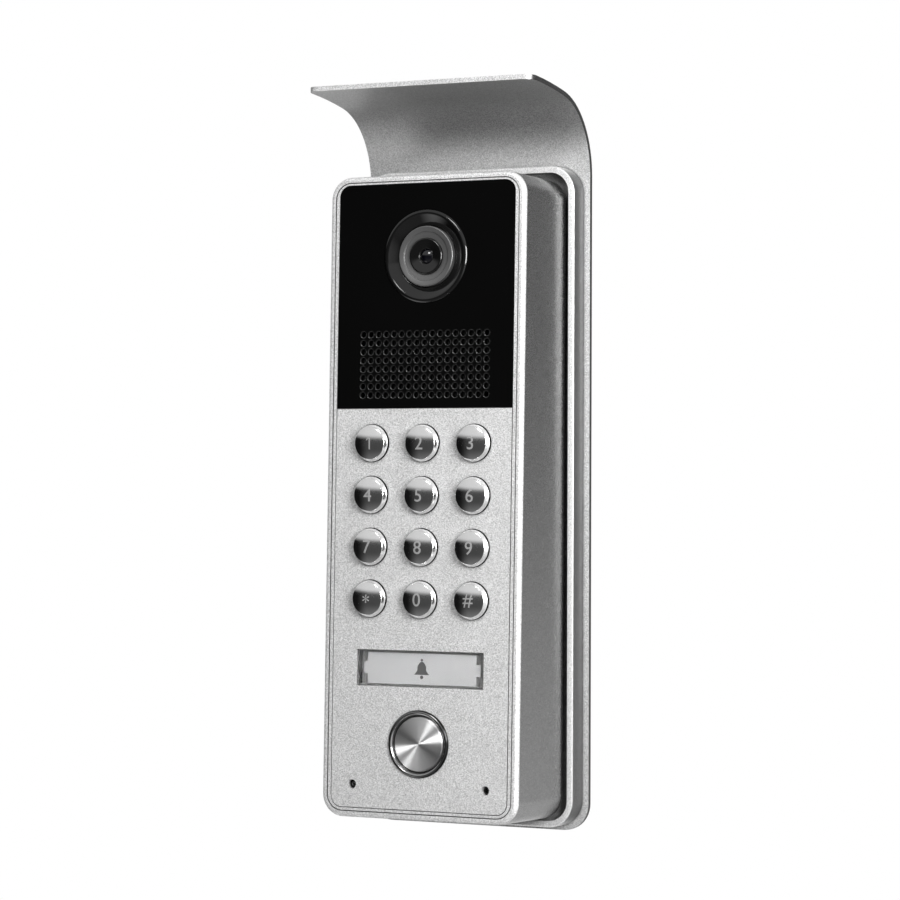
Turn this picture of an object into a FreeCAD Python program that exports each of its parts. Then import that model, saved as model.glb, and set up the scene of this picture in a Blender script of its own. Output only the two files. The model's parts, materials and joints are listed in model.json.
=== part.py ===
import FreeCAD, Part
import math
import os

from FreeCAD import Placement, Rotation, Vector

# Door intercom panel on a rain hood with a wall tray. Millimetres, +Z up, the face looks along -Y.
# The origin lies on the wall face of the hood plate, level with the middle of the body.

# --- driving dimensions: the body -------------------------------------------------------
BODY_W = 68.0
BODY_H = 200.0
CORNER_R = 7.0
FACE_Y = -39.33          # the face at mid-height, measured from the wall
FACE_TILT = 1.445        # degrees; the face looks slightly up
REAR_Y = -5.25           # the housing's rear wall at mid-height
REAR_TILT = 0.613        # degrees
WALL_T = 2.2
REAR_T = 2.0
REAR_FILLET = 4.5
SEAM = 1.7               # the front frame's edge, behind the face

# --- the front frame, its pocket and the two panels in it -------------------------------
RIM_W = 1.75
RIM_ROUND = 1.1
GROOVE_W = 0.35
GROOVE_DEPTH = 0.5
STEP_DROP = 0.12
POCKET_W = 61.7
POCKET_TOP = 97.4
POCKET_LOW = -97.1
POCKET_R = 3.75
PANEL_GAP = 0.25
PANEL_T = 2.0
LEDGE_BACK = 4.5
SPLIT_Z = 27.33          # the line between the camera window and the keypad plate

# --- camera -----------------------------------------------------------------------------
CAMERA_Z = 74.5
RING_R = 14.55
BARREL_R = 9.45
LENS_R = 5.7
PUPIL_R = 2.15

# --- speaker ----------------------------------------------------------------------------
GRILLE_COLUMNS = 17
GRILLE_ROWS = 8
GRILLE_PITCH = 2.7
GRILLE_HOLE_R = 0.95
GRILLE_Z = 40.96

# --- keypad -----------------------------------------------------------------------------
KEY_PITCH_X = 17.8
KEY_PITCH_Z = 16.13
KEY_TOP_Z = 16.52
KEY_HOLE_R = 5.95
KEY_R = 5.75
KEY_CROWN_R = 5.12
KEY_TOP_Y = -2.9         # the top of a key's crown stands this far out of the face
KEY_TRAVEL = 1.0
KEY_NAMES = (("1", "2", "3"), ("4", "5", "6"), ("7", "8", "9"), ("star", "0", "hash"))
MAT_FRONT = 6.2
KEYPAD_BOARD_Y = 7.4
BOARD_T = 1.6

# --- name plate -------------------------------------------------------------------------
NAME_Z = -53.32
NAME_W = 44.34
NAME_H = 11.3

# --- call button ------------------------------------------------------------------------
CALL_Z = -76.6
CALL_RING_R = 10.5
CALL_BARREL_R = 9.8
CALL_BORE_R = 8.7
CALL_CAP_R = 8.45
CALL_TRAVEL = 1.5
CALL_FLOOR = 11.0
CALL_BACK = 12.5
STEM_END = 13.3

# --- microphone hole and status light hole ----------------------------------------------
SMALL_HOLE_X = 23.25
SMALL_HOLE_Z = -89.7
SMALL_HOLE_R = 1.43

# --- inside -----------------------------------------------------------------------------
MAIN_BOARD_Y = 20.0
MAIN_BOARD_W = 55.0
MAIN_BOARD_LOW = -92.0
MAIN_BOARD_TOP = 50.0
BOARD_SCREW_X = 24.5
BOARD_SCREW_Z = (46.0, -87.5)
FRAME_SCREW_X = 27.9
FRAME_SCREW_Z = (93.2, -80.0)
SCREW_RECESS = 2.6

# --- wall tray and rain hood ------------------------------------------------------------
SHEET_T = 1.5
HOOD_W = 78.6
HOOD_LOW = -105.0
HOOD_R = 8.5
BEND_Z = 100.8           # where the canopy's bend starts
BEND_R = 23.5            # inside the bend
BEND_ANGLE = 79.0
LIP_R = 180.0
LIP_ANGLE = 7.3
LIP_CORNER_R = 3.0
TRAY_W = 74.5
TRAY_H = 207.4
TRAY_R = 8.5
TRAY_DEPTH = 7.14
TRAY_WALL = 2.1
TRAY_FLOOR = 2.0
WALL_SCREW_X = 40.0      # hole to hole
WALL_SCREW_Z = 150.0
WALL_SCREW_R = 2.25
CABLE_Z = -30.0
CABLE_HOLE_R = 11.0
GROMMET_HOLE_R = 7.0
GROMMET_BORE_R = 3.5
HOOK_X = 18.0
HOOK_TOP = 86.0          # the body hangs on the hooks here
LOCK_Y = -17.0           # the locking screw under the body
LUG_LOW = -95.6
LUG_T = 3.2

HALF_W = BODY_W / 2
HALF_H = BODY_H / 2
FLOOR_Y = -SHEET_T - TRAY_FLOOR
X_AXIS = Vector(1, 0, 0)
Y_AXIS = Vector(0, 1, 0)
BODY_FRAME = Placement(Vector(0, FACE_Y, 0), Rotation(X_AXIS, -FACE_TILT))
REAR_FRAME = Placement(Vector(0, REAR_Y, 0), Rotation(X_AXIS, -REAR_TILT))


# --- building blocks --------------------------------------------------------------------
def box(x0, x1, y0, y1, z0, z1):
    return Part.makeBox(x1 - x0, y1 - y0, z1 - z0, Vector(x0, y0, z0))


def rod(x, z, radius, y0, y1):
    """A cylinder along Y."""
    return Part.makeCylinder(radius, y1 - y0, Vector(x, y0, z), Y_AXIS)


def upright_edges(shape, z_low=-1000.0, z_high=1000.0):
    """The straight edges along Y, between two heights."""
    found = []
    for edge in shape.Edges:
        ends = [v.Point for v in edge.Vertexes]
        if len(ends) != 2:
            continue
        run = ends[1].sub(ends[0])
        if abs(run.x) + abs(run.z) < 1e-6 and z_low < ends[0].z < z_high:
            found.append(edge)
    return found


def slab(half_w, z_low, z_high, y0, y1, radius):
    """A plate across Y with rounded corners."""
    plate = box(-half_w, half_w, y0, y1, z_low, z_high)
    return plate.makeFillet(radius, upright_edges(plate))


def turned(outline, x=0.0, z=0.0):
    """A solid of revolution about an axis along Y through (x, z).

    The outline is a closed loop of (radius, y) points.
    A pair of points is an arc: through the first, to the second.
    """
    def at(point):
        return Vector(x + point[0], point[1], z)

    start = at(outline[0])
    here = start
    edges = []
    for step in list(outline[1:]) + [outline[0]]:
        if isinstance(step[0], tuple):
            end = at(step[1])
            edges.append(Part.Arc(here, at(step[0]), end).toShape())
        else:
            end = at(step)
            edges.append(Part.makeLine(here, end))
        here = end
    face = Part.Face(Part.Wire(edges))
    return face.revolve(Vector(x, 0, z), Y_AXIS, 360)


def crown(top, radius, edge):
    """The arc of a spherical cap, from its top on the axis to its edge: (a point half way, the edge)."""
    sag = edge - top
    ball = (radius ** 2 + sag ** 2) / (2 * sag)
    half = radius / 2
    side = 1 if sag > 0 else -1
    middle = top + ball - side * math.sqrt(ball ** 2 - half ** 2)
    return ((half, middle), (radius, edge))


def group(shapes):
    return Part.makeCompound(shapes)


def placed(shape, frame):
    moved = shape.copy()
    moved.Placement = frame.multiply(shape.Placement)
    return moved


def in_body(shape):
    """From the body's own frame, with y counted inward from the face, to the wall's frame."""
    return placed(shape, BODY_FRAME)


def in_front_of_rear(shape, distance):
    """Keeps what lies in front of a plane that is this far in front of the housing's rear wall."""
    keep = placed(box(-100, 100, -100, -distance, -200, 200), REAR_FRAME)
    return shape.common(keep)


def mirrored_pairs(x, heights):
    return [(side * x, z) for z in heights for side in (-1, 1)]


def screw(x, z, head_y, head_t, head_r, shank_r, tip_y):
    """A pan-head screw along Y with a cross recess; the head lies on the side away from the tip."""
    outward = -1 if tip_y > head_y else 1
    top = head_y + outward * head_t
    head = rod(x, z, head_r, min(head_y, top), max(head_y, top))
    shank = rod(x, z, shank_r, min(head_y, tip_y), max(head_y, tip_y))
    deep = top - outward * head_t * 0.6
    low, high = min(top, deep), max(top, deep)
    arm = head_r * 0.62
    slot = box(x - arm, x + arm, low, high, z - 0.3, z + 0.3)
    cross = slot.fuse(box(x - 0.3, x + 0.3, low, high, z - arm, z + arm))
    return head.fuse(shank).cut(cross).removeSplitter()


# --- front frame, panels, housing -------------------------------------------------------
def outline_slab(inset, y0, y1):
    """A slab that follows the body's outline, this far inside it."""
    half = HALF_W - inset
    return slab(half, -HALF_H + inset, HALF_H - inset, y0, y1, CORNER_R - inset)


def front_frame():
    rim = outline_slab(0, 0, SEAM)
    front = [e for e in rim.Edges if max(v.Y for v in e.Vertexes) < 1e-6]
    rim = rim.makeFillet(RIM_ROUND, front)
    groove = outline_slab(RIM_W, -1, GROOVE_DEPTH)
    groove = groove.cut(outline_slab(RIM_W + GROOVE_W, -2, GROOVE_DEPTH + 1))
    step = outline_slab(RIM_W + GROOVE_W / 2, -1, STEP_DROP)
    pocket = slab(POCKET_W / 2, POCKET_LOW, POCKET_TOP, -1, PANEL_T, POCKET_R)
    lip = outline_slab(WALL_T + 0.1, SEAM, LEDGE_BACK)
    frame = rim.fuse(lip).cut(groove).cut(step).cut(pocket)
    ledge = 1.95
    opening = slab(POCKET_W / 2 - ledge, POCKET_LOW + ledge, POCKET_TOP - ledge, 0, LEDGE_BACK + 1, 2.5)
    opening = opening.cut(box(-40, 40, PANEL_T, LEDGE_BACK + 2, SPLIT_Z - 2, SPLIT_Z + 1.6))
    frame = frame.cut(opening)
    places = mirrored_pairs(FRAME_SCREW_X, FRAME_SCREW_Z)
    bosses = [rod(x, z, 3.5, PANEL_T, 12.0) for x, z in places]
    holes = [rod(x, z, 1.5, PANEL_T + 1.2, 13.0) for x, z in places]
    return in_body(frame.fuse(bosses).cut(holes).removeSplitter())


def key_places():
    for row, names in enumerate(KEY_NAMES):
        for column, name in enumerate(names):
            yield name, (column - 1) * KEY_PITCH_X, KEY_TOP_Z - row * KEY_PITCH_Z


KEYPAD_SCREW_X = 26.4
KEYPAD_SCREW_Z = (KEY_TOP_Z - KEY_PITCH_Z / 2, KEY_TOP_Z - KEY_PITCH_Z * 2.5)


def face_plate():
    half = POCKET_W / 2 - PANEL_GAP
    plate = box(-half, half, 0, PANEL_T, POCKET_LOW + PANEL_GAP, SPLIT_Z - PANEL_GAP / 2)
    plate = plate.makeFillet(POCKET_R - PANEL_GAP, upright_edges(plate, z_high=0))
    cuts = [rod(x, z, KEY_HOLE_R, -1, PANEL_T + 1) for _, x, z in key_places()]
    name_half = NAME_W / 2
    cuts.append(box(-name_half, name_half, -1, PANEL_T + 1, NAME_Z - NAME_H / 2, NAME_Z + NAME_H / 2))
    cuts.append(rod(0, CALL_Z, CALL_BARREL_R + 0.1, -1, PANEL_T + 1))
    for side in (-1, 1):
        cuts.append(rod(side * SMALL_HOLE_X, SMALL_HOLE_Z, SMALL_HOLE_R, -1, PANEL_T + 1))
    plate = plate.cut(cuts)
    places = mirrored_pairs(KEYPAD_SCREW_X, KEYPAD_SCREW_Z)
    posts = [rod(x, z, 1.9, PANEL_T, KEYPAD_BOARD_Y) for x, z in places]
    pilots = [rod(x, z, 1.0, PANEL_T + 1.4, KEYPAD_BOARD_Y + 1) for x, z in places]
    return in_body(plate.fuse(posts).cut(pilots).removeSplitter())


def camera_window():
    half = POCKET_W / 2 - PANEL_GAP
    pane = box(-half, half, 0.08, PANEL_T, SPLIT_Z + PANEL_GAP / 2, POCKET_TOP - PANEL_GAP)
    pane = pane.makeFillet(POCKET_R - PANEL_GAP, upright_edges(pane, z_low=60))
    cuts = [rod(0, CAMERA_Z, RING_R + 0.1, -1, PANEL_T + 1)]
    for row in range(GRILLE_ROWS):
        z = GRILLE_Z + (row - (GRILLE_ROWS - 1) / 2) * GRILLE_PITCH
        for column in range(GRILLE_COLUMNS):
            x = (column - (GRILLE_COLUMNS - 1) / 2) * GRILLE_PITCH
            cuts.append(rod(x, z, GRILLE_HOLE_R, -1, PANEL_T + 1))
    return in_body(pane.cut(cuts))


def frame_screw_seat(z):
    """How deep behind the face a frame screw's head sits, in its recess in the sloping rear wall."""
    wedge = math.tan(math.radians(FACE_TILT - REAR_TILT))
    return REAR_Y - FACE_Y - z * wedge - SCREW_RECESS


def rear_housing():
    shell = in_body(outline_slab(0, SEAM, 45))
    shell = in_front_of_rear(shell, 0)
    rear_face = max(shell.Faces, key=lambda f: f.CenterOfMass.y)
    shell = shell.makeFillet(REAR_FILLET, rear_face.Edges)
    cavity = in_front_of_rear(in_body(outline_slab(WALL_T, -1, 45)), REAR_T)
    shell = shell.cut(cavity)
    room = in_front_of_rear(in_body(outline_slab(WALL_T / 2, SEAM, 45)), REAR_T / 2)
    frame_places = mirrored_pairs(FRAME_SCREW_X, FRAME_SCREW_Z)
    board_places = mirrored_pairs(BOARD_SCREW_X, BOARD_SCREW_Z)
    columns = [rod(x, z, 3.7, 12.0, 45) for x, z in frame_places]
    columns += [rod(x, z, 3.0, MAIN_BOARD_Y + BOARD_T, 45) for x, z in board_places]
    columns.append(box(-7, 7, 18.0, 27.0, -HALF_H + 1, -HALF_H + 7))
    shell = shell.fuse([in_body(c).common(room) for c in columns])
    holes = [in_body(rod(x, z, 1.65, 11, 45)) for x, z in frame_places]
    holes += [in_body(rod(x, z, 1.25, MAIN_BOARD_Y, 31.0)) for x, z in board_places]
    holes += [in_body(rod(x, z, 2.9, frame_screw_seat(z), 45)) for x, z in frame_places]
    holes.append(placed(rod(0, CABLE_Z, GROMMET_HOLE_R, -10, 5), REAR_FRAME))
    for side in (-1, 1):
        holes.append(box(side * HOOK_X - 5.2, side * HOOK_X + 5.2, -12, -3, HOOK_TOP - 7.0, HOOK_TOP + 0.05))
    holes.append(box(-6.6, 6.6, LOCK_Y - 4.5, 0, LUG_LOW - 0.5, LUG_LOW + LUG_T + 0.5))
    holes.append(Part.makeCylinder(1.7, 12, Vector(0, LOCK_Y, -101)))
    holes.append(Part.makeCylinder(3.0, 2.5, Vector(0, LOCK_Y, -101)))
    return shell.cut(holes).removeSplitter()


def housing_gasket():
    """A soft ring between the front frame's lip and the housing's wall, in front of the seam."""
    outer = outline_slab(WALL_T + 0.1, LEDGE_BACK, LEDGE_BACK + 1.2)
    inner = outline_slab(WALL_T + 1.7, LEDGE_BACK - 1, LEDGE_BACK + 3)
    places = mirrored_pairs(FRAME_SCREW_X, FRAME_SCREW_Z)
    return in_body(outer.cut(inner).cut([rod(x, z, 3.6, 0, 10) for x, z in places]))


def frame_screws():
    """Four long screws from behind, through the housing's columns into the front frame."""
    screws = []
    for x, z in mirrored_pairs(FRAME_SCREW_X, FRAME_SCREW_Z):
        screws.append(screw(x, z, frame_screw_seat(z), 1.9, 2.65, 1.45, 4.0))
    return in_body(group(screws))


# --- camera -----------------------------------------------------------------------------
def camera_ring():
    outline = [
        (9.75, 1.3), (10.2, 1.3), (12.85, -0.25), ((13.7, -0.5), (14.45, -0.1)),
        (RING_R, 0.2), (RING_R, 2.05),
        (16.5, 2.05), (16.5, 6.0), (14.8, 6.0), (14.8, 7.2), (9.75, 7.2),
    ]
    return in_body(turned(outline, 0, CAMERA_Z))


def lens_barrel():
    outline = [
        (LENS_R + 0.05, 0.55), (7.6, 0.42), (7.75, 0.1), (9.0, -0.1), ((9.35, 0.0), (BARREL_R, 0.3)),
        (BARREL_R, 14.0), (4.0, 14.0), (4.0, 12.0), (LENS_R + 0.05, 12.0),
    ]
    return in_body(turned(outline, 0, CAMERA_Z))


def lens_retainer():
    """The dark cap around the pupil, screwed into the barrel."""
    outline = [
        (PUPIL_R + 0.03, 0.75), (2.5, 0.25), (5.1, -0.25), ((5.45, -0.22), (LENS_R, 0.1)),
        (LENS_R, 5.0), (PUPIL_R + 0.03, 5.0),
    ]
    return in_body(turned(outline, 0, CAMERA_Z))


def lens_glasses():
    """The small front glass in the pupil, and the larger glass behind it."""
    front = [(0, 0.2), crown(0.2, PUPIL_R, 0.85), (PUPIL_R, 3.0), (0, 3.0)]
    rear = [(0, 6.0), crown(6.0, 5.0, 6.9), (5.0, 8.5), (0, 8.5)]
    return in_body(group([turned(front, 0, CAMERA_Z), turned(rear, 0, CAMERA_Z)]))


def lens_mount():
    block = box(-10, 10, 14.0, 19.0, CAMERA_Z - 10, CAMERA_Z + 10)
    block = block.makeFillet(1.5, upright_edges(block))
    well = box(-7, 7, 16.0, 20.0, CAMERA_Z - 7, CAMERA_Z + 7)
    ears = slab(15, -3, 3, 17.4, 19.0, 2.5).translated(Vector(0, 0, CAMERA_Z))
    body = block.fuse(ears).cut(well).cut(rod(0, CAMERA_Z, 4.0, 13, 20))
    return in_body(body.cut([rod(s * 12.5, CAMERA_Z, 1.05, 13, 20) for s in (-1, 1)]))


def camera_board():
    board = slab(18, CAMERA_Z - 17, CAMERA_Z + 17, 19.0, 20.2, 1.5)
    return in_body(board.cut([rod(s * 12.5, CAMERA_Z, 1.05, 18, 22) for s in (-1, 1)]))


def image_sensor():
    return in_body(box(-4.5, 4.5, 17.6, 19.0, CAMERA_Z - 4.5, CAMERA_Z + 4.5))


LED_X = 22.5
LED_Z = (-9.0, 0.0, 9.0)


def led_board():
    board = box(-27.5, 27.5, 6.0, 7.2, CAMERA_Z - 18, CAMERA_Z + 14)
    return in_body(board.cut(rod(0, CAMERA_Z, 14.85, 5, 9)))


def infrared_leds():
    """Six night-vision lights behind the dark window."""
    lights = []
    for x, z in mirrored_pairs(LED_X, LED_Z):
        outline = [(0, 2.4), crown(2.4, 1.5, 3.7), (1.5, 5.2), (1.85, 5.2), (1.85, 6.0), (0, 6.0)]
        lights.append(turned(outline, x, CAMERA_Z + z))
    return in_body(group(lights))


# --- speaker ----------------------------------------------------------------------------
def oval(half_w, half_h, y0, y1):
    return slab(half_w, GRILLE_Z - half_h, GRILLE_Z + half_h, y0, y1, half_h - 0.2)


def speaker_cloth():
    return in_body(oval(24.0, 10.9, PANEL_T, PANEL_T + 0.5))


def speaker_frame():
    basket = oval(24.0, 10.9, PANEL_T + 0.5, 9.0)
    basket = basket.cut(oval(22.4, 9.3, PANEL_T, 8.0))
    return in_body(basket.cut(rod(0, GRILLE_Z, 5.0, 7, 10)))


def speaker_cone():
    rim = oval(22.3, 9.2, 3.6, 4.1)
    rim = rim.cut(rod(0, GRILLE_Z, 7.0, 3, 5))
    cap = [(0, 3.0), crown(3.0, 7.0, 4.1), (4.6, 4.1), (4.6, 7.6), (4.0, 7.6), (4.0, 4.1), (0, 4.1)]
    dome = turned(cap, 0, GRILLE_Z)
    link = turned([(4.6, 3.9), (7.2, 3.6), (7.2, 4.1), (4.6, 4.1)], 0, GRILLE_Z)
    return in_body(rim.fuse([dome, link]).removeSplitter())


def speaker_magnet():
    return in_body(turned([(0, 9.0), (9.0, 9.0), (9.0, 13.2), (0, 13.2)], 0, GRILLE_Z))


# --- keypad -----------------------------------------------------------------------------
def key(x, z):
    """A turned metal key: a flange behind the plate, a short barrel, a bevel and a low crown."""
    outline = [
        (0, KEY_TOP_Y), crown(KEY_TOP_Y, KEY_CROWN_R, -2.1), (KEY_R, -0.7), (KEY_R, 2.15),
        (6.6, 2.15), (6.6, 3.1),
        (3.0, 3.1), (3.0, 4.3), (0, 4.3),
    ]
    return in_body(turned(outline, x, z))


def keypad_mat():
    """One silicone mat: a flat sheet with a hollow dome and a contact puck under each key."""
    half = 24.2
    sheet = slab(half, KEY_TOP_Z - 3 * KEY_PITCH_Z - 8.4, KEY_TOP_Z + 8.4, MAT_FRONT, KEYPAD_BOARD_Y, 3.0)
    dome = [(0, 4.3), (3.6, 4.3), (5.2, MAT_FRONT + 0.2), (0, MAT_FRONT + 0.2)]
    puck_back = KEYPAD_BOARD_Y - KEY_TRAVEL
    room = [(2.2, 5.0), (3.2, 5.0), (4.6, MAT_FRONT), (4.6, 8.0), (0, 8.0), (0, puck_back), (2.2, puck_back)]
    outer = [turned(dome, x, z) for _, x, z in key_places()]
    hollow = [turned(room, x, z) for _, x, z in key_places()]
    lights = [box(x - 1.4, x + 1.4, 6, 8, z - 1.2, z + 1.2) for x, z in light_places()]
    return in_body(sheet.fuse(outer).cut(hollow + lights))


def light_places():
    heights = [KEY_TOP_Z - (row + 0.5) * KEY_PITCH_Z for row in range(3)]
    return mirrored_pairs(KEY_PITCH_X / 2, heights)


def keypad_lights():
    chips = [box(x - 1.0, x + 1.0, 6.7, KEYPAD_BOARD_Y, z - 0.7, z + 0.7) for x, z in light_places()]
    return in_body(group(chips))


def keypad_board():
    low = KEY_TOP_Z - 3 * KEY_PITCH_Z - 8.8
    board = slab(28.4, low, KEY_TOP_Z + 8.8, KEYPAD_BOARD_Y, KEYPAD_BOARD_Y + BOARD_T, 1.5)
    places = mirrored_pairs(KEYPAD_SCREW_X, KEYPAD_SCREW_Z)
    return in_body(board.cut([rod(x, z, 1.1, 7, 10) for x, z in places]))


def small_screws():
    """Six alike: four hold the keypad board to the plate's posts, two hold the camera board."""
    back = KEYPAD_BOARD_Y + BOARD_T
    places = mirrored_pairs(KEYPAD_SCREW_X, KEYPAD_SCREW_Z)
    screws = [screw(x, z, back, 1.2, 1.8, 0.96, back - 4.8) for x, z in places]
    screws += [screw(x, z, 20.2, 1.2, 1.8, 0.96, 15.4) for x, z in mirrored_pairs(12.5, (CAMERA_Z,))]
    return in_body(group(screws))


# --- name plate -------------------------------------------------------------------------
def name_block(half_w, half_h, y0, y1):
    return box(-half_w, half_w, y0, y1, NAME_Z - half_h, NAME_Z + half_h)


def name_cover():
    """A clear window with a skirt, and a flange that lies behind the plate."""
    half_w = NAME_W / 2 - 0.12
    half_h = NAME_H / 2 - 0.12
    cover = name_block(half_w, half_h, 0.45, PANEL_T).fuse(name_block(24.0, 7.4, PANEL_T, 2.8))
    return in_body(cover.cut(name_block(half_w - 0.6, half_h - 0.6, 1.2, 3)).removeSplitter())


def name_card():
    card = name_block(19.0, 4.85, 1.75, 1.95)
    return in_body(card.fuse(name_block(20.4, 1.85, 1.75, 1.95)).removeSplitter())


def name_holder():
    """The dark tray behind the clear window, with a raised seat for the card."""
    holder = name_block(26.0, 8.3, 2.8, 5.0)
    holder = holder.cut(name_block(21.3, 4.85, 2.0, 4.0))
    return in_body(holder.fuse(name_block(18.9, 4.8, 1.95, 4.2)).removeSplitter())


# --- call button ------------------------------------------------------------------------
def call_button_body():
    outline = [
        (CALL_BORE_R, 0.55), (9.15, -0.35), ((9.75, -0.75), (10.35, -0.4)), (CALL_RING_R, -0.1),
        (CALL_RING_R, 0.0), (CALL_BARREL_R, 0.0), (CALL_BARREL_R, CALL_BACK), (3.4, CALL_BACK),
        (3.4, CALL_FLOOR), (CALL_BORE_R, CALL_FLOOR),
    ]
    return in_body(turned(outline, 0, CALL_Z))


def call_button_cap():
    """The cap, a stem through the barrel's floor, and the clip on the stem's end."""
    outline = [
        (0, -0.12), (8.1, -0.1), (CALL_CAP_R, 0.2), (CALL_CAP_R, 4.0), (3.1, 4.0), (3.1, 12.6), (4.6, 12.6),
        (4.6, 13.2), (3.1, 13.2), (3.1, STEM_END), (0, STEM_END),
    ]
    return in_body(turned(outline, 0, CALL_Z))


def call_button_seal():
    outline = [(9.85, 2.0), (11.4, 2.0), ((11.9, 2.6), (11.4, 3.2)), (9.85, 3.2)]
    return in_body(turned(outline, 0, CALL_Z))


def call_button_nut():
    across_flats = 23.6
    corner = across_flats / 2 / math.cos(math.radians(30))
    angles = [math.radians(60 * i) for i in range(6)]
    corners = [Vector(corner * math.cos(a), 3.2, CALL_Z + corner * math.sin(a)) for a in angles]
    hexagon = Part.Face(Part.makePolygon(corners + corners[:1])).extrude(Vector(0, 2.8, 0))
    return in_body(hexagon.cut(rod(0, CALL_Z, CALL_BARREL_R + 0.02, 3, 7)))


def call_button_spring():
    """A ribbed silicone sleeve around the cap's stem; it returns the cap."""
    wall_in, wall_out, rib_out = 3.9, 4.6, 5.6
    front, back = 4.05, CALL_FLOOR - 0.05
    rib_places = (5.2, 6.8, 8.4, 10.0)
    rib_half = 0.35
    outline = [(wall_in, back), (wall_in, front), (wall_out, front)]
    for y in rib_places:
        low, high = y - rib_half, y + rib_half
        outline += [(wall_out, low), (rib_out, low), (rib_out, high), (wall_out, high)]
    outline.append((wall_out, back))
    return in_body(turned(outline, 0, CALL_Z))


def call_switch():
    body = box(-3.2, 3.2, 15.6, MAIN_BOARD_Y, CALL_Z - 3.2, CALL_Z + 3.2)
    plunger = rod(0, CALL_Z, 1.6, STEM_END + CALL_TRAVEL + 0.15, 16)
    return in_body(body.fuse(plunger).removeSplitter())


# --- microphone and status light --------------------------------------------------------
def microphone_boot():
    outline = [(1.2, PANEL_T), (4.0, PANEL_T), (4.0, 7.0), (3.1, 7.0), (3.1, 4.0), (1.2, 4.0)]
    return in_body(turned(outline, SMALL_HOLE_X, SMALL_HOLE_Z))


def microphone():
    capsule = rod(SMALL_HOLE_X, SMALL_HOLE_Z, 3.05, 4.0, 6.6)
    return in_body(capsule.cut(rod(SMALL_HOLE_X, SMALL_HOLE_Z, 0.7, 3, 4.4)))


def status_light():
    outline = [(0, 0.9), crown(0.9, 1.25, 1.9), (1.25, 2.3), (2.4, 2.3), (2.4, 6.0), (0, 6.0)]
    return in_body(turned(outline, -SMALL_HOLE_X, SMALL_HOLE_Z))


# --- electronics ------------------------------------------------------------------------
def main_board():
    half = MAIN_BOARD_W / 2
    back = MAIN_BOARD_Y + BOARD_T
    board = slab(half, MAIN_BOARD_LOW, MAIN_BOARD_TOP, MAIN_BOARD_Y, back, 2.0)
    board = board.cut([rod(x, z, 3.9, 19, 23) for x, z in mirrored_pairs(FRAME_SCREW_X, FRAME_SCREW_Z)])
    board = board.cut(box(-7.2, 7.2, 19, 23, -93, -89.5))
    screw_places = mirrored_pairs(BOARD_SCREW_X, BOARD_SCREW_Z)
    return in_body(board.cut([rod(x, z, 1.35, 19, 23) for x, z in screw_places]))


def board_screws():
    places = mirrored_pairs(BOARD_SCREW_X, BOARD_SCREW_Z)
    return in_body(group([screw(x, z, MAIN_BOARD_Y, 1.5, 2.4, 1.2, 29.0) for x, z in places]))


def processor_chip():
    return in_body(box(-6, 6, MAIN_BOARD_Y - 1.2, MAIN_BOARD_Y, 2, 14))


def lock_relay():
    case = box(-21, -2, MAIN_BOARD_Y - 9.4, MAIN_BOARD_Y, -30, -14.5)
    return in_body(case.makeFillet(0.8, upright_edges(case)))


def capacitors():
    cans = []
    for x, z in ((8, -18), (16, -18), (12, -27)):
        can = rod(x, z, 3.15, MAIN_BOARD_Y - 8.0, MAIN_BOARD_Y)
        top_edges = [e for e in can.Edges if e.CenterOfMass.y < MAIN_BOARD_Y - 7.9]
        cans.append(can.makeFillet(0.5, top_edges))
    return in_body(group(cans))


TERMINALS = 6
TERMINAL_PITCH = 5.0
TERMINAL_Z = -56.0


def terminal_places():
    return [((i - (TERMINALS - 1) / 2) * TERMINAL_PITCH, TERMINAL_Z + 2.2) for i in range(TERMINALS)]


def terminal_block():
    half = TERMINALS * TERMINAL_PITCH / 2
    front = MAIN_BOARD_Y + BOARD_T
    block = box(-half, half, front, front + 8.5, TERMINAL_Z - 4, TERMINAL_Z + 5)
    cuts = [rod(x, z, 1.65, front + 4.5, front + 9) for x, z in terminal_places()]
    for x, _ in terminal_places():
        cuts.append(box(x - 1.4, x + 1.4, front + 1.2, front + 4.2, TERMINAL_Z - 5, TERMINAL_Z - 1))
    return in_body(block.cut(cuts))


def terminal_screws():
    front = MAIN_BOARD_Y + BOARD_T + 4.5
    screws = []
    for x, z in terminal_places():
        slot = box(x - 1.3, x + 1.3, front + 2, front + 4, z - 0.25, z + 0.25)
        screws.append(rod(x, z, 1.6, front, front + 3).cut(slot))
    return in_body(group(screws))


def board_link():
    """The pin header that joins the keypad board to the main board."""
    return in_body(box(-9, 9, KEYPAD_BOARD_Y + BOARD_T, MAIN_BOARD_Y, 17.5, 20.5))


# --- wall side --------------------------------------------------------------------------
def wall_screw_places():
    return mirrored_pairs(WALL_SCREW_X / 2, (WALL_SCREW_Z / 2, -WALL_SCREW_Z / 2))


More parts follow.
